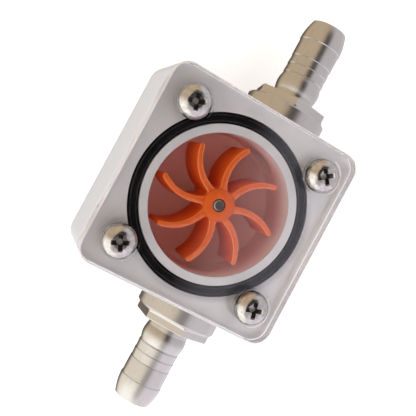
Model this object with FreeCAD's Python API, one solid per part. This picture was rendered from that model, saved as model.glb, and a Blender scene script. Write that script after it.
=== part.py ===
import FreeCAD, Part
import math
import os
from FreeCAD import Vector

# Sight-glass turbine flow meter. It lies on its back: +Z runs from the back face to the clear cover, +Y along
# the flow, and the origin is at the middle of the back face. All sizes are in millimetres.

# Block and cover
body_side = 50.0            # width of the square block and of its cover
corner_radius = 4.0         # upright corners of block and cover
block_back_chamfer = 0.6
block_front_chamfer = 0.3
cover_thickness = 5.0
cover_front_chamfer = 0.4
cover_back_chamfer = 0.25

# Cover screws, M4 pan head
screw_edge_distance = 7.5   # screw axis to the nearest side of the block
screw_radius = 2.0
screw_depth = 9.5           # thread held in the block
screw_hole_spare = 1.5      # tapped hole left below the screw's end
screw_hole_clearance = 0.25
thread_clearance = 0.03     # radial, in every tapped hole
head_radius = 4.1
head_height = 3.1
head_rim_height = 0.6       # upright rim below the dome
head_flat_radius = 1.6      # flat middle of the dome
recess_span = 4.4
recess_slot = 1.05
recess_depth = 1.9
spot_face_clearance = 0.6   # spot face round each head
spot_face_depth = 0.5

# Cover seal, an O-ring squeezed between its groove and the cover
seal_cord = 2.5
seal_squeeze = 0.45
groove_clearance = 0.1      # each side of the squeezed cord
screw_wall = 1.15           # wall between the groove and the tapped holes
land_width = 2.0            # flat ring between the chamber and the groove
chamber_floor_chamfer = 0.35

# Rotor, shaft and thrust washer
vane_count = 8
vane_tip_gap = 2.0          # vane tips to the chamber wall
vane_root_thickness = 1.7
vane_tip_thickness = 1.2
vane_arc_radius = 10.15     # centre line of a vane
vane_arc_offset = 11.95     # rotor axis to the centre of that arc
vane_tip_round = 0.45
vane_root_fillet = 0.8
rotor_top_gap = 0.4         # top of the hub to the cover
hub_rise = 0.7              # hub above the vanes
hub_radius = 3.85
hub_top_chamfer = 0.3
hub_foot = 1.0              # hub below the vanes
hub_foot_radius = 3.0
hub_bore_chamfer = 0.3
running_clearance = 0.03    # radial, shaft in the rotor
shaft_radius = 1.25
shaft_seat_depth = 4.0      # held in the chamber floor
shaft_seat_clearance = 0.01
shaft_end_rise = 0.2        # shaft end above the hub
shaft_end_chamfer = 0.25
washer_thickness = 0.5
washer_radius = 2.9
washer_bore_clearance = 0.1
washer_play = 0.1           # axial play of the rotor
boss_height = 0.6
boss_radius = 3.4

# Ports and hose fittings, G1/4 thread and 10 mm hose
flow_offset = 7.3           # flow axis beside the rotor axis
passage_radius = 4.0        # drilled through from port to port
passage_floor_gap = 0.5     # drilling to the chamber floor
port_wall = 0.78            # least wall between a port and the chamber
port_mouth_chamfer = 0.5
thread_radius = 6.58
thread_end_gap = 0.7
thread_end_chamfer = 0.8
undercut_depth = 0.7
undercut_width = 1.2
collar_radius = 10.4
collar_edge_margin = 1.1    # collar to the back face and to the cover
collar_thickness = 4.6
collar_chamfer = 0.5
hex_across_flats = 17.0
hex_height = 2.2
hex_foot_width = 0.3        # slope between the flats and the collar
hex_foot_height = 0.5
hex_end_chamfer = 0.2
inlet_hex_turn = 26.0       # a corner's angle round the fitting, degrees
outlet_hex_turn = 20.5
barb_length = 20.6
barb_bore_radius = 3.5
barb_mouth_chamfer = 0.3
barb_tip_radius = 4.5
barb_crest_radius = 5.5
barb_root_radius = 5.2
barb_nose_length = 5.2      # tip to the crest, as are the next two places
barb_nose_bulge = 0.25
barb_ring_place = 9.8
barb_ring_pitch = 2.3
barb_ring_count = 3
barb_ring_rise = 0.14
barb_step = 0.2             # length of each step back from a crest
bead_place = 16.9           # rounded bead near the hexagon
bead_radius = 5.6
bead_length = 4.2
barb_neck_radius = 5.3      # from the bead to the hexagon

# Seals under the collars
port_seal_cord = 2.0
port_seal_squeeze = 0.4
port_seal_land = 0.7        # thread to the groove

# Sizes that follow
body_half = body_side / 2
screw_offset = body_half - screw_edge_distance
tapped_radius = screw_radius + thread_clearance
groove_outer_radius = screw_offset * math.sqrt(2) - tapped_radius - screw_wall
groove_inner_radius = groove_outer_radius - seal_cord - 2 * groove_clearance
groove_depth = seal_cord - seal_squeeze
chamber_radius = groove_inner_radius - land_width
rotor_radius = chamber_radius - vane_tip_gap
body_depth = 2 * (collar_radius + collar_edge_margin)
flow_height = body_depth / 2
floor_height = flow_height - passage_radius - passage_floor_gap
washer_height = floor_height + boss_height
hub_bottom = washer_height + washer_thickness + washer_play
vane_bottom = hub_bottom + hub_foot
rotor_top = body_depth - rotor_top_gap
vane_top = rotor_top - hub_rise
face_height = body_depth + cover_thickness
seat_height = face_height - spot_face_depth
spot_face_radius = head_radius + spot_face_clearance
port_depth = body_half - chamber_radius - port_wall
port_radius = thread_radius + thread_clearance
thread_length = port_depth - thread_end_gap
port_groove_inner = thread_radius + port_seal_land
port_groove_outer = port_groove_inner + port_seal_cord + 2 * groove_clearance
port_groove_depth = port_seal_cord - port_seal_squeeze
hex_top = collar_thickness + hex_height
hex_corner_radius = collar_radius - collar_chamfer
fitting_length = hex_top + barb_length

up = Vector(0, 0, 1)
origin = Vector(0, 0, 0)


def cylinder(radius, bottom, top, x=0.0, y=0.0):
    return Part.makeCylinder(radius, top - bottom, Vector(x, y, bottom), up)


def ring(inner, outer, bottom, top):
    return cylinder(outer, bottom, top).cut(cylinder(inner, bottom, top))


def cone(bottom_radius, top_radius, bottom, top, x=0.0, y=0.0):
    return Part.makeCone(bottom_radius, top_radius, top - bottom, Vector(x, y, bottom), up)


def line(start, end):
    return Part.LineSegment(start, end).toShape()


def arc(start, middle, end):
    return Part.Arc(start, middle, end).toShape()


def at(radius, height):
    """A point of a turned profile, in the XZ plane."""
    return Vector(radius, 0, height)


def turned(edges):
    """A solid of revolution about Z from the edges of a closed profile."""
    return Part.Face(Part.Wire(edges)).revolve(origin, up, 360)


def level_edges(shape, height):
    """The edges that lie flat at one height."""
    return [edge for edge in shape.Edges
            if all(abs(vertex.Z - height) < 1e-6 for vertex in edge.Vertexes)]


def square_plate(bottom, top, bottom_chamfer, top_chamfer):
    """The square outline with rounded corners that block and cover share."""
    box = Part.makeBox(body_side, body_side, top - bottom, Vector(-body_half, -body_half, bottom))
    upright = [edge for edge in box.Edges if abs(edge.tangentAt(edge.FirstParameter).z) > 0.5]
    plate = box.makeFillet(corner_radius, upright)
    plate = plate.makeChamfer(bottom_chamfer, level_edges(plate, bottom))
    return plate.makeChamfer(top_chamfer, level_edges(plate, top))


def screw_places():
    """Screw axes, counter-clockwise from the corner at +X +Y."""
    return [(sx * screw_offset, sy * screw_offset) for sx, sy in ((1, 1), (-1, 1), (-1, -1), (1, -1))]


def squeezed_ring(inner_radius, cord, height, bottom):
    """An O-ring whose round cord is pressed flat at top and bottom."""
    bulge = height / 2
    inner_flat = inner_radius + bulge * 0.7
    outer_flat = inner_radius + cord - bulge * 0.7
    top = bottom + height
    return turned([
        line(at(inner_flat, bottom), at(outer_flat, bottom)),
        arc(at(outer_flat, bottom), at(inner_radius + cord, bottom + bulge), at(outer_flat, top)),
        line(at(outer_flat, top), at(inner_flat, top)),
        arc(at(inner_flat, top), at(inner_radius, bottom + bulge), at(inner_flat, bottom))])


def to_port(shape, side):
    """Turns a shape built outwards along +Z from the block's side to the port at +Y or -Y."""
    placed = shape.copy()
    placed.rotate(origin, Vector(1, 0, 0), -90 * side)
    placed.translate(Vector(flow_offset, side * body_half, flow_height))
    return placed


def make_housing():
    block = square_plate(0, body_depth, block_back_chamfer, block_front_chamfer)
    chamber = cylinder(chamber_radius, floor_height, body_depth)
    chamber = chamber.makeChamfer(chamber_floor_chamfer, level_edges(chamber, floor_height))
    boss = cylinder(boss_radius, floor_height, washer_height)
    block = block.cut(chamber.cut(boss))
    block = block.cut(ring(groove_inner_radius, groove_outer_radius, body_depth - groove_depth, body_depth))
    seat_radius = shaft_radius + shaft_seat_clearance
    block = block.cut(cylinder(seat_radius, floor_height - shaft_seat_depth, washer_height))
    hole_depth = screw_depth + screw_hole_spare
    for x, y in screw_places():
        hole_bottom = body_depth - hole_depth
        point = cone(0, tapped_radius, hole_bottom - tapped_radius / 2, hole_bottom, x, y)
        block = block.cut(cylinder(tapped_radius, hole_bottom, body_depth, x, y).fuse(point))
    port = cylinder(port_radius, -port_depth, 0)
    mouth = cone(port_radius, port_radius + port_mouth_chamfer, -port_mouth_chamfer, 0)
    drilling = cylinder(passage_radius, -body_half, 0)
    for side in (1, -1):
        block = block.cut(to_port(port.fuse([mouth, drilling]), side))
    # the drilling leaves the washer's boss whole
    return block.fuse(ring(seat_radius, boss_radius, floor_height, washer_height)).removeSplitter()


def make_cover():
    cover = square_plate(body_depth, face_height, cover_back_chamfer, cover_front_chamfer)
    for x, y in screw_places():
        cover = cover.cut(cylinder(screw_radius + screw_hole_clearance, body_depth, face_height, x, y))
        cover = cover.cut(cylinder(spot_face_radius, seat_height, face_height, x, y))
    return cover


def make_screw(x, y, turn):
    """A pan-head screw with a cross recess turned by an angle."""
    shoulder = at(head_radius, head_rim_height)
    crown = at(head_flat_radius, head_height)
    bow = at(head_radius * 0.83, head_height * 0.72)
    screw_end = -(seat_height - body_depth + screw_depth)
    screw = turned([
        line(at(0, screw_end), at(screw_radius * 0.7, screw_end)),
        line(at(screw_radius * 0.7, screw_end), at(screw_radius, screw_end + screw_radius * 0.3)),
        line(at(screw_radius, screw_end + screw_radius * 0.3), at(screw_radius, 0)),
        line(at(screw_radius, 0), at(head_radius, 0)),
        line(at(head_radius, 0), shoulder),
        arc(shoulder, bow, crown),
        line(crown, at(0, head_height)),
        line(at(0, head_height), at(0, screw_end))])
    recess_bottom = head_height - recess_depth
    slot = Part.makeBox(recess_span, recess_slot, recess_depth,
                        Vector(-recess_span / 2, -recess_slot / 2, recess_bottom))
    cross_slot = slot.copy()
    cross_slot.rotate(origin, up, 90)
    point = cone(recess_slot * 0.6, recess_span / 2, recess_bottom, head_height)
    recess = slot.fuse(cross_slot).common(point)
    recess.rotate(origin, up, turn)
    screw = screw.cut(recess)
    screw.translate(Vector(x, y, seat_height))
    return screw


def vane_point(angle, offset):
    """A point beside a vane's centre line, for the vane whose arc is centred on +X."""
    radius = vane_arc_radius + offset
    return Vector(vane_arc_offset + radius * math.cos(angle), radius * math.sin(angle), 0)


def arc_angle_at(distance):
    """The angle about the arc's centre at which the centre line is that far from the rotor axis."""
    cosine = (distance ** 2 - vane_arc_offset ** 2 - vane_arc_radius ** 2) / (
        2 * vane_arc_offset * vane_arc_radius)
    return math.acos(cosine)


def make_vane():
    """One curved vane, thinner towards its round tip, from inside the hub to the rotor's edge."""
    root = arc_angle_at(hub_radius * 0.7)
    tip = arc_angle_at(rotor_radius - vane_tip_round)
    middle = (root + tip) / 2
    root_half = vane_root_thickness / 2
    tip_half = vane_tip_thickness / 2
    middle_half = (root_half + tip_half) / 2
    tip_end = vane_point(tip - vane_tip_round / vane_arc_radius, 0)
    wire = Part.Wire([
        arc(vane_point(root, root_half), vane_point(middle, middle_half), vane_point(tip, tip_half)),
        arc(vane_point(tip, tip_half), tip_end, vane_point(tip, -tip_half)),
        arc(vane_point(tip, -tip_half), vane_point(middle, -middle_half), vane_point(root, -root_half)),
        line(vane_point(root, -root_half), vane_point(root, root_half))])
    vane = Part.Face(wire).extrude(Vector(0, 0, vane_top - vane_bottom))
    vane.translate(Vector(0, 0, vane_bottom))
    return vane


def make_rotor():
    hub = cylinder(hub_radius, vane_bottom, rotor_top)
    hub = hub.makeChamfer(hub_top_chamfer, level_edges(hub, rotor_top))
    vane = make_vane()
    vanes = []
    for index in range(vane_count):
        copy = vane.copy()
        copy.rotate(origin, up, index * 360 / vane_count)
        vanes.append(copy)
    wheel = hub.fuse(vanes).removeSplitter()
    roots = [edge for edge in wheel.Edges
             if len(edge.Vertexes) == 2
             and all(abs(math.hypot(v.X, v.Y) - hub_radius) < 1e-3 for v in edge.Vertexes)
             and abs(edge.Vertexes[0].Z - edge.Vertexes[1].Z) > 1]
    wheel = wheel.makeFillet(vane_root_fillet, roots)
    wheel = wheel.fuse(cylinder(hub_foot_radius, hub_bottom, vane_bottom))
    bore_radius = shaft_radius + running_clearance
    mouth = cone(bore_radius, bore_radius + hub_bore_chamfer, rotor_top - hub_bore_chamfer, rotor_top)
    return wheel.cut(cylinder(bore_radius, hub_bottom, rotor_top).fuse(mouth)).removeSplitter()


def make_shaft():
    bottom = floor_height - shaft_seat_depth
    shaft = cylinder(shaft_radius, bottom, rotor_top + shaft_end_rise)
    return shaft.makeChamfer(shaft_end_chamfer, [shaft.Edges[0], shaft.Edges[2]])


def make_washer():
    bore = shaft_radius + washer_bore_clearance
    return ring(bore, washer_radius, washer_height, washer_height + washer_thickness)


def from_tip(radius, distance):
    """A point of a fitting's profile, that far back from the tip."""
    return at(radius, fitting_length - distance)


def barb_profile():
    """The outside of the hose barb from the hexagon to the tip, as edges of a turned profile."""
    neck_end = from_tip(barb_neck_radius, bead_place + bead_length / 2)
    bead_end = from_tip(barb_root_radius, bead_place - bead_length / 2)
    edges = [line(at(barb_neck_radius, hex_top), neck_end),
             arc(neck_end, from_tip(bead_radius, bead_place), bead_end)]
    place = bead_end
    ring_top = barb_root_radius + barb_ring_rise
    for index in reversed(range(barb_ring_count)):
        distance = barb_ring_place + index * barb_ring_pitch
        foot = from_tip(barb_root_radius, distance + barb_step)
        crest = from_tip(ring_top, distance)
        edges += [line(place, foot), line(foot, crest)]
        place = crest
    step_foot = from_tip(ring_top, barb_nose_length + barb_step)
    shoulder = from_tip(barb_crest_radius, barb_nose_length)
    nose_bow = from_tip((barb_crest_radius + barb_tip_radius) / 2 + barb_nose_bulge, barb_nose_length / 2)
    edges += [line(place, step_foot), line(step_foot, shoulder),
              arc(shoulder, nose_bow, from_tip(barb_tip_radius, 0))]
    return edges


def make_fitting(hex_turn):
    """A hose fitting along +Z: thread below 0, then collar, hexagon and barb."""
    undercut = thread_radius - undercut_depth
    thread_end = -thread_length
    mouth = barb_bore_radius + barb_mouth_chamfer
    edges = [
        line(at(barb_bore_radius, thread_end), at(thread_radius - thread_end_chamfer, thread_end)),
        line(at(thread_radius - thread_end_chamfer, thread_end),
             at(thread_radius, thread_end + thread_end_chamfer)),
        line(at(thread_radius, thread_end + thread_end_chamfer), at(thread_radius, -undercut_width)),
        line(at(thread_radius, -undercut_width), at(undercut, -undercut_width)),
        line(at(undercut, -undercut_width), at(undercut, 0)),
        line(at(undercut, 0), at(port_groove_inner, 0)),
        line(at(port_groove_inner, 0), at(port_groove_inner, port_groove_depth)),
        line(at(port_groove_inner, port_groove_depth), at(port_groove_outer, port_groove_depth)),
        line(at(port_groove_outer, port_groove_depth), at(port_groove_outer, 0)),
        line(at(port_groove_outer, 0), at(collar_radius, 0)),
        line(at(collar_radius, 0), at(collar_radius, collar_thickness - collar_chamfer)),
        line(at(collar_radius, collar_thickness - collar_chamfer),
             at(collar_radius - collar_chamfer, collar_thickness)),
        line(at(collar_radius - collar_chamfer, collar_thickness), at(barb_neck_radius, collar_thickness)),
        line(at(barb_neck_radius, collar_thickness), at(barb_neck_radius, hex_top))]
    edges += barb_profile()
    edges += [
        line(at(barb_tip_radius, fitting_length), at(mouth, fitting_length)),
        line(at(mouth, fitting_length), at(barb_bore_radius, fitting_length - barb_mouth_chamfer)),
        line(at(barb_bore_radius, fitting_length - barb_mouth_chamfer), at(barb_bore_radius, thread_end))]
    return turned(edges).fuse(make_hexagon(hex_turn)).removeSplitter()


def hexagon(across_flats, height, turn):
    """A closed hexagon at one height."""
    radius = across_flats / math.sqrt(3)
    corners = []
    for index in range(7):
        angle = math.radians(turn + 60 * index)
        corners.append(Vector(radius * math.cos(angle), radius * math.sin(angle), height))
    return Part.makePolygon(corners)


def make_hexagon(turn):
    """The wrench flats with a sloping foot on the collar, their corners turned off."""
    foot_top = collar_thickness + hex_foot_height
    flats = Part.Face(hexagon(hex_across_flats, collar_thickness, turn)).extrude(Vector(0, 0, hex_height))
    flats = flats.makeChamfer(hex_end_chamfer, level_edges(flats, hex_top))
    foot = Part.makeLoft([hexagon(hex_across_flats + 2 * hex_foot_width, collar_thickness, turn),
                          hexagon(hex_across_flats, foot_top, turn)], True)
    middle = cylinder((barb_neck_radius + barb_bore_radius) / 2, collar_thickness, hex_top)
    return flats.fuse(foot).common(cylinder(hex_corner_radius, collar_thickness, hex_top)).cut(middle)


def main():
    recess_turns = (38, 18, 25, 16)
    nodes = {
        "housing": make_housing(),
        "front_cover": make_cover(),
        "cover_o_ring": squeezed_ring(groove_inner_radius + groove_clearance, seal_cord, groove_depth,
                                      body_depth - groove_depth),
        "rotor": make_rotor(),
        "rotor_shaft": make_shaft(),
        "thrust_washer": make_washer(),
        "inlet_fitting": to_port(make_fitting(inlet_hex_turn), -1),
        "outlet_fitting": to_port(make_fitting(outlet_hex_turn), 1)}
    port_seal = squeezed_ring(port_groove_inner + groove_clearance, port_seal_cord, port_groove_depth, 0)
    nodes["inlet_o_ring"] = to_port(port_seal, -1)
    nodes["outlet_o_ring"] = to_port(port_seal, 1)
    for number, ((x, y), turn) in enumerate(zip(screw_places(), recess_turns), 1):
        nodes["cover_screw_%d" % number] = make_screw(x, y, turn)
    os.makedirs("parts", exist_ok=True)
    for name, shape in nodes.items():
        shape.exportStep("parts/%s.step" % name)
        print("%-15s %d solid  %9.1f mm3  valid %s" % (name, len(shape.Solids), shape.Volume, shape.isValid()))


main()
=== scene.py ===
import math

import bmesh
import bpy
from mathutils import Matrix, Vector


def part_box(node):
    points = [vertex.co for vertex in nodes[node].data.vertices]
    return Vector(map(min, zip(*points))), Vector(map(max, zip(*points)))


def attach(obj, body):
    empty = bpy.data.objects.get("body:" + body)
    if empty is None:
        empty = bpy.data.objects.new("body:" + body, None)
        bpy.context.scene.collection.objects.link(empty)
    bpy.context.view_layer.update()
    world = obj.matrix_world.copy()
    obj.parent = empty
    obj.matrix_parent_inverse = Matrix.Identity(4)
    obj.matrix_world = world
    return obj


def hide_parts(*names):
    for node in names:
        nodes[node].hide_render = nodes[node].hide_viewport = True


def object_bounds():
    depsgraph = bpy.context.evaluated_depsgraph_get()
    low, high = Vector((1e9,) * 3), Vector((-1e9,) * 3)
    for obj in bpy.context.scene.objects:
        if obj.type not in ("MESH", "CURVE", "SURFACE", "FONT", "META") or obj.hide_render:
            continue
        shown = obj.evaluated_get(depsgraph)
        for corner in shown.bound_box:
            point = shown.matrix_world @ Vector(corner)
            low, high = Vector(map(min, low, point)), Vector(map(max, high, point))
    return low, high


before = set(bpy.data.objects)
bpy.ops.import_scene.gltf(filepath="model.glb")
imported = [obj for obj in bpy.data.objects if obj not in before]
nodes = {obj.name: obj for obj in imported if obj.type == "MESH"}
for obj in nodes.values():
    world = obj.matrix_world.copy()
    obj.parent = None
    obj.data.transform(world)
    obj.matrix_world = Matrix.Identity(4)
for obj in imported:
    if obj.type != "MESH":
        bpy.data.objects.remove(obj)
cadLow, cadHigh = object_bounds()
print("frame loaded:", len(nodes), "nodes")

millimetre = 0.001


# Shader sums

class Signal:  # a socket that can be added up like a number
    def __init__(self, graph, socket):
        self.graph = graph
        self.socket = socket

    def sum(self, operation, first, second=0.0):
        return self.graph.add("ShaderNodeMath", {"operation": operation}, {0: first, 1: second})

    def __add__(self, other):
        return self.sum("ADD", self, other)

    def __sub__(self, other):
        return self.sum("SUBTRACT", self, other)

    def __rsub__(self, other):
        return self.sum("SUBTRACT", other, self)

    def __mul__(self, other):
        return self.sum("MULTIPLY", self, other)

    __radd__ = __add__
    __rmul__ = __mul__

    def root(self):
        return self.sum("SQRT", self)

    def size(self):
        return self.sum("ABSOLUTE", self)

    def larger(self, other):
        return self.sum("MAXIMUM", self, other)

    def rise(self, start, end):  # 0 below start, 1 above end, smooth between
        return self.graph.add("ShaderNodeMapRange", {"interpolation_type": "SMOOTHSTEP"},
                              {"Value": self, "From Min": start, "From Max": end})


class Graph:  # the node tree of a material or of the world
    def __init__(self, tree):
        self.tree = tree
        tree.nodes.clear()

    def add(self, kind, settings=None, inputs=None, output=0):
        node = self.tree.nodes.new(kind)
        for name, value in (settings or {}).items():
            setattr(node, name, value)
        for name, value in (inputs or {}).items():
            if isinstance(value, Signal):
                self.tree.links.new(value.socket, node.inputs[name])
            else:
                node.inputs[name].default_value = value
        return Signal(self, node.outputs[output]) if len(node.outputs) else node

    def place(self, stretch=(1, 1, 1), turn=(0, 0, 0)):  # object coordinates in mm
        point = self.add("ShaderNodeTexCoord", output="Object")
        scale = [value / millimetre for value in stretch]
        return self.add("ShaderNodeMapping", None, {"Vector": point, "Rotation": turn, "Scale": scale})

    def axes(self, vector):
        return [self.add("ShaderNodeSeparateXYZ", None, {0: vector}, axis) for axis in "XYZ"]

    def noise(self, vector, scale, detail=2.0, rough=0.5):
        return self.add("ShaderNodeTexNoise", None,
                        {"Vector": vector, "Scale": scale, "Detail": detail, "Roughness": rough})

    def mix(self, factor, first, second):
        return self.add("ShaderNodeMix", {"data_type": "RGBA"},
                        {0: factor, 6: asColour(first), 7: asColour(second)}, 2)

    def bump(self, height, strength, depth, normal=None):  # depth in mm
        inputs = {"Strength": strength, "Distance": depth * millimetre, "Height": height}
        if normal:
            inputs["Normal"] = normal
        return self.add("ShaderNodeBump", None, inputs)


def asColour(value):
    return value if isinstance(value, Signal) else (*value, 1.0)


def across(x, y):  # distance from the rotor's axis, or from where x and y are both nought
    return (x * x + y * y).root()


def makeFinish(name, constants, build):  # a material, its fixed values and what varies over it
    material = bpy.data.materials.new(name)
    material.use_nodes = True
    graph = Graph(material.node_tree)
    shader = dict(constants)
    shader.update(build(graph))
    surface = graph.add("ShaderNodeBsdfPrincipled", None, shader)
    graph.add("ShaderNodeOutputMaterial", None, {"Surface": surface})
    return material


def dress(nodeName, material):
    for slot in nodes[nodeName].material_slots:
        slot.material = material


# Camera

cameraSettings = {
    "place": (-48.46, -3.92, 187.49),    # mm
    "right": (0.8452, 0.4743, 0.2462),
    "up": (-0.4594, 0.8803, -0.1186),
    "lens": 63.64,
    "sensor": 36.0,
}


def makeCamera(settings):
    data = bpy.data.cameras.new("viewpoint")
    data.lens = settings["lens"]
    data.sensor_width = settings["sensor"]
    data.clip_start = 0.01
    data.clip_end = 20.0
    camera = bpy.data.objects.new("viewpoint", data)
    right = Vector(settings["right"]).normalized()
    back = right.cross(Vector(settings["up"])).normalized()
    up = back.cross(right)
    turned = Matrix((right, up, back)).transposed().to_4x4()
    camera.matrix_world = Matrix.Translation(Vector(settings["place"]) * millimetre) @ turned
    bpy.context.scene.collection.objects.link(camera)
    bpy.context.scene.camera = camera


makeCamera(cameraSettings)
print("camera placed")


# Floor and light

floorSettings = {
    "width": 6.0,                        # metres
    "colour": (0.62, 0.62, 0.63),
    "faint": 0.98,                       # of that colour, in faint clouds
    "glow": 0.95,                        # of that colour
    "under": 0.05,                       # mm below the block's back face
}

skySettings = {                          # X right, Y along the flow, Z up
    "warm": (1.10, 0.88, 0.62),          # a tan wall at -X
    "warmNear": (1.95, 1.82, 1.64),      # its end at -Y
    "cool": (1.12, 1.08, 1.14),          # at +X
    "coolNear": (1.65, 1.58, 1.74),
    "near": (-0.28, -0.04),              # where the near ends begin, in Y
    "window": (2.5, 2.5, 2.4),           # low and bright, between -Y and -X
    "windowWay": (-0.40, -0.87, 0.24),
    "card": (0.95, 0.93, 1.06),          # overhead, beside the shade
    "shade": (0.02, 0.018, 0.02),        # overhead, along the flow
    "shadeNear": (0.95, 0.91, 0.90),     # its end at -Y
    "shadeLeft": (-0.29, -0.13),
    "shadeRight": (0.265, 0.33),
    "below": (0.12, 0.11, 0.10),
    "seen": (0.96, 0.96, 0.965),         # behind the floor
}


def makeFloor(settings):
    plane = bmesh.new()
    bmesh.ops.create_grid(plane, x_segments=1, y_segments=1, size=settings["width"] / 2)
    bmesh.ops.translate(plane, verts=plane.verts, vec=(0, 0, cadLow.z - settings["under"] * millimetre))
    mesh = bpy.data.meshes.new("floor")
    plane.to_mesh(mesh)
    plane.free()
    floor = bpy.data.objects.new("floor", mesh)
    bpy.context.scene.collection.objects.link(floor)

    def paper(graph):
        fine = graph.noise(graph.place(), 0.4, 3.0)
        clouded = [value * settings["faint"] for value in settings["colour"]]
        colour = graph.mix(fine, settings["colour"], clouded)
        return {"Base Color": colour, "Emission Color": colour}

    mesh.materials.append(makeFinish("palePaper", {"Roughness": 0.9, "Specular IOR Level": 0.2,
                                                   "Emission Strength": settings["glow"]}, paper))
    floor.visible_glossy = False         # the metals mirror the studio, not the paper


def makeSky(settings):
    world = bpy.data.worlds.new("studio")
    world.use_nodes = True
    bpy.context.scene.world = world
    graph = Graph(world.node_tree)
    way = graph.add("ShaderNodeTexCoord", output="Generated")
    x, y, z = graph.axes(way)
    far = y.rise(*settings["near"])
    warm = graph.mix(far, settings["warmNear"], settings["warm"])
    cool = graph.mix(far, settings["coolNear"], settings["cool"])
    colour = graph.mix(x.rise(-0.15, 0.15), warm, cool)
    card = x.rise(*settings["shadeRight"]) * z.rise(0.82, 0.9) * (1 - y.size().rise(0.13, 0.18))
    colour = graph.mix(card, colour, settings["card"])
    toWindow = graph.add("ShaderNodeVectorMath", {"operation": "DOT_PRODUCT"},
                         {0: way, 1: Vector(settings["windowWay"]).normalized()}, "Value")
    colour = graph.mix(toWindow.rise(0.62, 0.92), colour, settings["window"])
    shadeColour = graph.mix(y.rise(-0.19, -0.11), settings["shadeNear"], settings["shade"])
    shade = x.rise(*settings["shadeLeft"]) * (1 - x.rise(*settings["shadeRight"])) * z.rise(0.55, 0.8)
    colour = graph.mix(shade, colour, shadeColour)
    colour = graph.mix(z.rise(-0.92, -0.62), settings["below"], colour)
    lit = graph.add("ShaderNodeBackground", None, {"Color": colour})
    seen = graph.add("ShaderNodeBackground", None, {"Color": asColour(settings["seen"])})
    straight = graph.add("ShaderNodeLightPath", output="Is Camera Ray")
    surface = graph.add("ShaderNodeMixShader", None, {0: straight, 1: lit, 2: seen})
    graph.add("ShaderNodeOutputWorld", None, {"Surface": surface})


makeFloor(floorSettings)
makeSky(skySettings)
bpy.context.scene.view_settings.view_transform = "Standard"
print("floor and light ready")


# Block

blockFinish = {
    "colour": (0.85, 0.855, 0.87),
    "dull": (0.74, 0.755, 0.75),
    # the sides are painted darker and bluer than the face, as painted shade
    "side": (0.68, 0.71, 0.78),
    "foot": (0.30, 0.30, 0.32),          # painted shade along the bottom of the sides, where the block meets the floor
    "smear": (0.28, 0.28, 0.30),         # painted shadow of the seal on the face just outside its groove
    "chamberFloor": (0.99, 0.60, 0.54),
    "chamberWall": (0.97, 0.85, 0.86),
    "worn": (0.98, 0.94, 0.94),          # painted light in patches on the upper chamber wall, near the rim
    "gleam": 0.45,
    "smearing": 0.45,                    # how dark that painted shadow is
    "grain": 5.0,                        # per mm
    "chamberReach": (16.88, 16.95),      # from here down, each pair is where a change starts and ends, in mm
    "chamberTop": (22.8, 22.95),
    "boreTop": (20.4, 20.6),
    "boreEnd": (24.3, 24.4),             # towards the block's sides
    "boreReach": (27.0, 27.2),           # keeps off the block's upright corners
    "tintHeight": (12.0, 21.0),
    "wornHeight": (20.6, 22.4),
    "cornerInset": 8.8,                  # makes up for the rounded corners
    "outsideEdge": (24.6, 24.8),
    "footHeight": (1.0, 2.0),
    "smearStart": (21.4, 21.5),
    "smearFade": (21.5, 23.6),
    "smearSide": (-4.0, 22.0),           # it lies towards +X and -Y
}


def blockMetal(graph):
    finish = blockFinish
    place = graph.place()
    x, y, z = graph.axes(place)
    grain = graph.noise(place, finish["grain"], 4.0, 0.6)
    cloud = graph.noise(place, 0.25, 3.0)
    colour = graph.mix(cloud, finish["colour"], finish["dull"])
    reach = across(x, y)
    edge = x.size().larger(y.size())
    chamber = (1 - reach.rise(*finish["chamberReach"])) * (1 - z.rise(*finish["chamberTop"]))
    bores = (1 - z.rise(*finish["boreTop"])) * (1 - edge.rise(*finish["boreEnd"]))
    bores = bores * (1 - reach.rise(*finish["boreReach"]))
    chamber = chamber.larger(bores)
    # painted light: the chamber's colour grows paler up the wall towards the rim
    tint = graph.mix(z.rise(*finish["tintHeight"]), finish["chamberFloor"], finish["chamberWall"])
    colour = graph.mix(chamber, colour, tint)
    # painted light: patches on the upper chamber wall, where light comes in at the rim
    scuff = graph.noise(place, 1.4, 4.0, 0.7).rise(0.45, 0.62)
    scuff = scuff * (z + grain * 1.5).rise(*finish["wornHeight"])
    colour = graph.mix(scuff * chamber, colour, finish["worn"])
    outside = edge.larger(reach - finish["cornerInset"]).rise(*finish["outsideEdge"])
    # painted shade: the sides take the darker side colour
    colour = graph.mix(outside, colour, finish["side"])
    # painted shade low on the sides, broken up by the grain
    foot = outside * (1 - (z + grain * 0.6).rise(*finish["footHeight"]))
    colour = graph.mix(foot, colour, finish["foot"])
    # painted shadow of the seal beside the groove, towards +X and -Y
    smear = (1 - reach.rise(*finish["smearFade"])) * reach.rise(*finish["smearStart"])
    smear = smear * (x - y).rise(*finish["smearSide"]) * (1 - outside)
    colour = graph.mix(smear * finish["smearing"], colour, finish["smear"])
    return {"Base Color": colour,
            "Metallic": (1 - chamber) * finish["gleam"] * (1 - outside * 0.5),
            "Roughness": 0.32 + grain * 0.18,
            "Normal": graph.bump(grain, 0.4, 0.02)}


dress("housing", makeFinish("satinBlock", {}, blockMetal))
print("block dressed")


# Clear window

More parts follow.
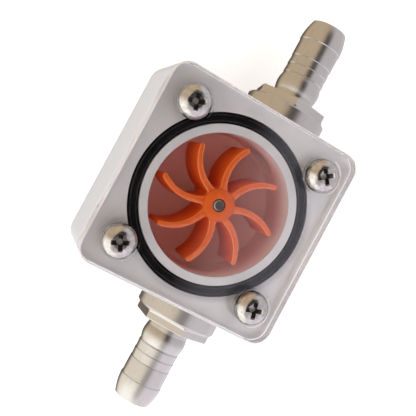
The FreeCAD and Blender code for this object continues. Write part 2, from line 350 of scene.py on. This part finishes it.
windowSettings = {
    "film": 0.03,                        # air under the window, mm
    "weld": 0.0005,
    "level": 0.000001,                   # vertices this near to the back count as on it, in metres
    "upright": 0.9,                      # faces that point up or down more than this stay clear
    "sawn": 0.45,                        # faces this near to the outline are frosted
    "corner": 46.6,                      # and those past this sum of X and Y
    "clear": (0.99, 0.98, 0.98),
    "clouded": (0.975, 0.965, 0.97),
    "frosted": (0.97, 0.95, 0.96),
    "chipped": (0.90, 0.88, 0.89),
    "pit": (0.12, 0.10, 0.10),
    "pitPlace": (-12.9, 25.6),           # Y and Z of the pit in the side at -X
    "pitEdge": (0.3, 0.6),
    "pitSide": (-24.0, -23.9),
    "bend": 1.42,                        # refraction
    "sawnThrough": 0.7,                  # light that passes the frosted sides
}


def copyNode(nodeName, weld):  # a merged copy of a CAD node's mesh
    work = bmesh.new()
    work.from_mesh(nodes[nodeName].data)
    bmesh.ops.remove_doubles(work, verts=work.verts, dist=weld * millimetre)
    return work


def makePiece(name, work, materials, body, replaced):  # stands in for the CAD nodes in replaced
    mesh = bpy.data.meshes.new(name)
    work.to_mesh(mesh)
    work.free()
    piece = bpy.data.objects.new(name, mesh)
    bpy.context.scene.collection.objects.link(piece)
    for material in materials:
        mesh.materials.append(material)
    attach(piece, body)
    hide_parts(*replaced)


def clearAcrylic(graph):
    cloud = graph.noise(graph.place(), 0.3, 2.0)
    scratch = graph.noise(graph.place((9, 0.6, 1), turn=(0, 0, 0.5)), 1.0, 2.0)
    return {"Base Color": graph.mix(cloud, windowSettings["clear"], windowSettings["clouded"]),
            "Roughness": scratch * 0.03,
            "Normal": graph.bump(cloud, 0.05, 0.02)}


def sawnAcrylic(graph):
    place = graph.place()
    stripe = graph.noise(graph.place((0.4, 0.4, 8)), 1.0, 3.0)
    chip = graph.noise(place, 1.5, 4.0, 0.7)
    x, y, z = graph.axes(place)
    pitY, pitZ = windowSettings["pitPlace"]
    pit = 1 - across(y - pitY, z - pitZ).rise(*windowSettings["pitEdge"])
    pit = pit * (1 - x.rise(*windowSettings["pitSide"]))
    colour = graph.mix(chip.rise(0.4, 0.7), windowSettings["frosted"], windowSettings["chipped"])
    return {"Base Color": graph.mix(pit, colour, windowSettings["pit"]),
            "Roughness": 0.45 + stripe * 0.3,
            "Normal": graph.bump(stripe, 0.4, 0.03, graph.bump(chip, 0.3, 0.03))}


def makeWindow(settings):
    work = copyNode("front_cover", settings["weld"])
    low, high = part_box("front_cover")
    under = [vertex for vertex in work.verts if vertex.co.z < low.z + settings["level"]]
    bmesh.ops.translate(work, verts=under, vec=(0, 0, settings["film"] * millimetre))
    bmesh.ops.dissolve_limit(work, angle_limit=0.01, verts=work.verts, edges=work.edges)
    rim = high.x - settings["sawn"] * millimetre
    for face in work.faces:
        centre = face.calc_center_median()
        reach = max(abs(centre.x), abs(centre.y))
        corner = abs(centre.x) + abs(centre.y) > settings["corner"] * millimetre
        if abs(face.normal.z) < settings["upright"] and (reach > rim or corner):
            face.material_index = 1
    clear = {"Transmission Weight": 1.0, "IOR": settings["bend"]}
    sawn = {"Transmission Weight": settings["sawnThrough"], "IOR": settings["bend"]}
    finishes = [makeFinish("clearAcrylic", clear, clearAcrylic), makeFinish("sawnAcrylic", sawn, sawnAcrylic)]
    makePiece("clear_window", work, finishes, "meter_body", ["front_cover"])


makeWindow(windowSettings)
print("window made")


# Rubber seals

sealFinish = {
    "black": (0.004, 0.0035, 0.004),
    "dusty": (0.014, 0.013, 0.015),
    # two thin painted highlights where the window flattens the cord
    "line": (0.075, 0.07, 0.075),
    "middle": 20.2,                      # the cord's middle from the rotor's axis, mm
    "lineStart": (0.5, 0.66),            # mm either side of that middle
    "lineEnd": (0.74, 0.9),
    "lineHeight": (22.5, 22.9),
}


def blackRubber(graph):
    place = graph.place()
    speck = graph.noise(place, 6.0, 3.0, 0.7)
    colour = graph.mix(speck.rise(0.6, 0.85), sealFinish["black"], sealFinish["dusty"])
    x, y, z = graph.axes(place)
    reach = (across(x, y) - sealFinish["middle"]).size()     # distance from the cord's middle; painted highlight lines where the window flattens the seal
    line = reach.rise(*sealFinish["lineStart"]) * (1 - reach.rise(*sealFinish["lineEnd"]))
    line = line * z.rise(*sealFinish["lineHeight"])
    colour = graph.mix(line * (0.2 + speck * 0.6), colour, sealFinish["line"])
    return {"Base Color": colour, "Roughness": 0.34 + speck * 0.2,
            "Normal": graph.bump(speck, 0.2, 0.02)}


rubber = makeFinish("blackRubber", {"Specular IOR Level": 0.08}, blackRubber)
for seal in ("cover_o_ring", "inlet_o_ring", "outlet_o_ring"):
    dress(seal, rubber)
print("seals dressed")


# Screws

screwFinish = {
    "bright": (0.43, 0.415, 0.40),
    "dull": (0.33, 0.315, 0.30),
    # painted shade in the cross recess, lighter in its middle
    "recess": (0.022, 0.018, 0.018),
    "recessMiddle": (0.36, 0.34, 0.32),
    "place": 17.5,                       # each screw from the rotor's axis, in X and in Y, mm
    "recessEdge": (2.1, 2.4),
    "recessHeight": (30.1, 30.4),
    "middleEdge": (0.55, 0.85),
}


def screwSteel(graph):
    place = graph.place()
    fine = graph.noise(place, 3.0, 4.0)
    mottle = graph.noise(place, 0.9, 4.0, 0.65)
    colour = graph.mix(mottle.rise(0.3, 0.7), screwFinish["bright"], screwFinish["dull"])
    x, y, z = graph.axes(place)
    reach = across(x.size() - screwFinish["place"], y.size() - screwFinish["place"])
    # the cross recess: painted shade, lighter in its middle, and no metal
    hollow = (1 - reach.rise(*screwFinish["recessEdge"])) * (1 - z.rise(*screwFinish["recessHeight"]))
    middle = reach.rise(*screwFinish["middleEdge"])
    inside = graph.mix(middle, screwFinish["recessMiddle"], screwFinish["recess"])
    colour = graph.mix(hollow, colour, inside)
    return {"Base Color": colour, "Metallic": 1 - hollow, "Roughness": 0.14 + fine * 0.14,
            "Normal": graph.bump(mottle, 0.25, 0.06, graph.bump(fine, 0.08, 0.02))}


steel = makeFinish("screwSteel", {}, screwSteel)
for number in range(1, 5):
    dress("cover_screw_%d" % number, steel)
print("screws dressed")


# Rotor

rotorFinish = {
    "bright": (0.93, 0.16, 0.012),
    "deep": (0.86, 0.12, 0.008),
    "edgeBright": (1.0, 0.30, 0.07),     # painted highlight on the rounded top edges of the vanes
    "edgeDeep": (0.96, 0.22, 0.045),
    "mouth": (0.10, 0.02, 0.01),         # painted shade round the shaft, where it meets the hub
    "mouthReach": (1.5, 1.6),
    "mouthHeight": (22.0, 22.1),
    "vaneTop": (21.7, 21.8),             # the coat starts here
    "hubTop": (22.1, 22.2),              # and thins here
    "thinned": 0.75,
}


def orangePlastic(graph, bright=rotorFinish["bright"], deep=rotorFinish["deep"]):
    place = graph.place()
    cloud = graph.noise(place, 0.5, 3.0)
    fine = graph.noise(place, 8.0, 3.0)
    colour = graph.mix(cloud, bright, deep)
    x, y, z = graph.axes(place)
    # painted shade in the gap round the shaft
    mouth = (1 - across(x, y).rise(*rotorFinish["mouthReach"])) * z.rise(*rotorFinish["mouthHeight"])
    colour = graph.mix(mouth, colour, rotorFinish["mouth"])
    coat = z.rise(*rotorFinish["vaneTop"]) * (1 - z.rise(*rotorFinish["hubTop"]) * rotorFinish["thinned"])
    return {"Base Color": colour, "Roughness": 0.45 + fine * 0.10, "Coat Weight": coat,
            "Normal": graph.bump(fine, 0.1, 0.02)}


# the rounded top edges in a lighter orange, a painted highlight
def wornEdge(graph):
    return orangePlastic(graph, rotorFinish["edgeBright"], rotorFinish["edgeDeep"])


rotorSettings = {
    "weld": 0.0005,
    "edge": 0.2,                         # rounding of the vanes' top edges, mm
    "steps": 2,
    "crease": 50.0,                      # degrees; steeper edges stay sharp
    "pastHub": 6.0,                      # level faces beyond this reach are vane tops, mm
    "level": 0.000001,                   # vertices this near to their level count as on it, in metres
}


def makeRotor(settings):
    work = copyNode("rotor", settings["weld"])
    bmesh.ops.dissolve_limit(work, angle_limit=0.002, verts=work.verts, edges=work.edges)
    pastHub = settings["pastHub"] * millimetre
    level = max(face.calc_center_median().z for face in work.faces
                if face.normal.z > 0.99 and face.calc_center_median().xy.length > pastHub)
    rims = [edge for edge in work.edges
            if edge.is_convex and edge.calc_face_angle(0.0) > 1.0
            and all(abs(vertex.co.z - level) < settings["level"] for vertex in edge.verts)]
    rounded = bmesh.ops.bevel(work, geom=rims, offset=settings["edge"] * millimetre,
                              segments=settings["steps"], profile=0.5, affect="EDGES", material=-1)
    for face in rounded["faces"]:
        face.material_index = 1
    for face in work.faces:
        face.smooth = True
    for edge in work.edges:
        edge.smooth = edge.calc_face_angle(0.0) < math.radians(settings["crease"])
    print("rotor:", len(rims), "edges rounded,", len(work.faces), "faces")
    fixed = {"Specular IOR Level": 0.12, "Coat Roughness": 0.15}
    finishes = [makeFinish("orangePlastic", fixed, orangePlastic), makeFinish("wornEdge", fixed, wornEdge)]
    makePiece("vaned_rotor", work, finishes, "rotor_wheel", ["rotor"])


makeRotor(rotorSettings)


shaftFinish = {
    "bright": (0.50, 0.48, 0.46),
    "dull": (0.40, 0.38, 0.37),
    "end": (0.11, 0.11, 0.10),           # the flat end inside its chamfer, painted dark as painted shade
    "endReach": (0.95, 1.05),
}

washerFinish = {
    "pale": (0.86, 0.86, 0.83),
    "dull": (0.78, 0.78, 0.75),
}


def shaftSteel(graph):
    place = graph.place()
    fine = graph.noise(place, 6.0, 3.0)
    x, y, z = graph.axes(place)
    # painted shade on the flat end, so the chamfer's ring stands out
    flat = 1 - across(x, y).rise(*shaftFinish["endReach"])
    colour = graph.mix(fine, shaftFinish["bright"], shaftFinish["dull"])
    return {"Base Color": graph.mix(flat, colour, shaftFinish["end"]), "Roughness": 0.25 + fine * 0.2,
            "Normal": graph.bump(fine, 0.1, 0.02)}


def washerPlastic(graph):
    fine = graph.noise(graph.place(), 6.0, 3.0)
    return {"Base Color": graph.mix(fine, washerFinish["pale"], washerFinish["dull"]),
            "Roughness": 0.4 + fine * 0.1,
            "Normal": graph.bump(fine, 0.1, 0.02)}


dress("rotor_shaft", makeFinish("shaftSteel", {"Metallic": 1.0}, shaftSteel))
dress("thrust_washer", makeFinish("washerPlastic", {}, washerPlastic))
print("rotor dressed")


# Hose fittings

fittingFinish = {
    "bright": (0.44, 0.425, 0.405),
    "dull": (0.36, 0.345, 0.33),
    "stain": (0.30, 0.28, 0.27),
    "staining": 0.35,
    "lathe": (0.02, 7.0, 0.02),          # turning marks run round the flow axis
}


def turnedMetal(graph):
    place = graph.place()
    grain = graph.noise(place, 4.0, 4.0, 0.65)
    rings = graph.noise(graph.place(fittingFinish["lathe"]), 1.0, 2.0)
    stain = graph.noise(graph.place((1.0, 0.35, 1.0)), 0.9, 4.0, 0.65)
    colour = graph.mix(grain, fittingFinish["bright"], fittingFinish["dull"])
    colour = graph.mix(stain.rise(0.5, 0.75) * fittingFinish["staining"], colour, fittingFinish["stain"])
    return {"Base Color": colour, "Roughness": 0.22 + grain * 0.16,
            "Normal": graph.bump(rings, 0.45, 0.02, graph.bump(grain, 0.3, 0.02))}


turned = makeFinish("turnedMetal", {"Metallic": 1.0}, turnedMetal)
for fitting in ("inlet_fitting", "outlet_fitting"):
    dress(fitting, turned)
print("fittings dressed")
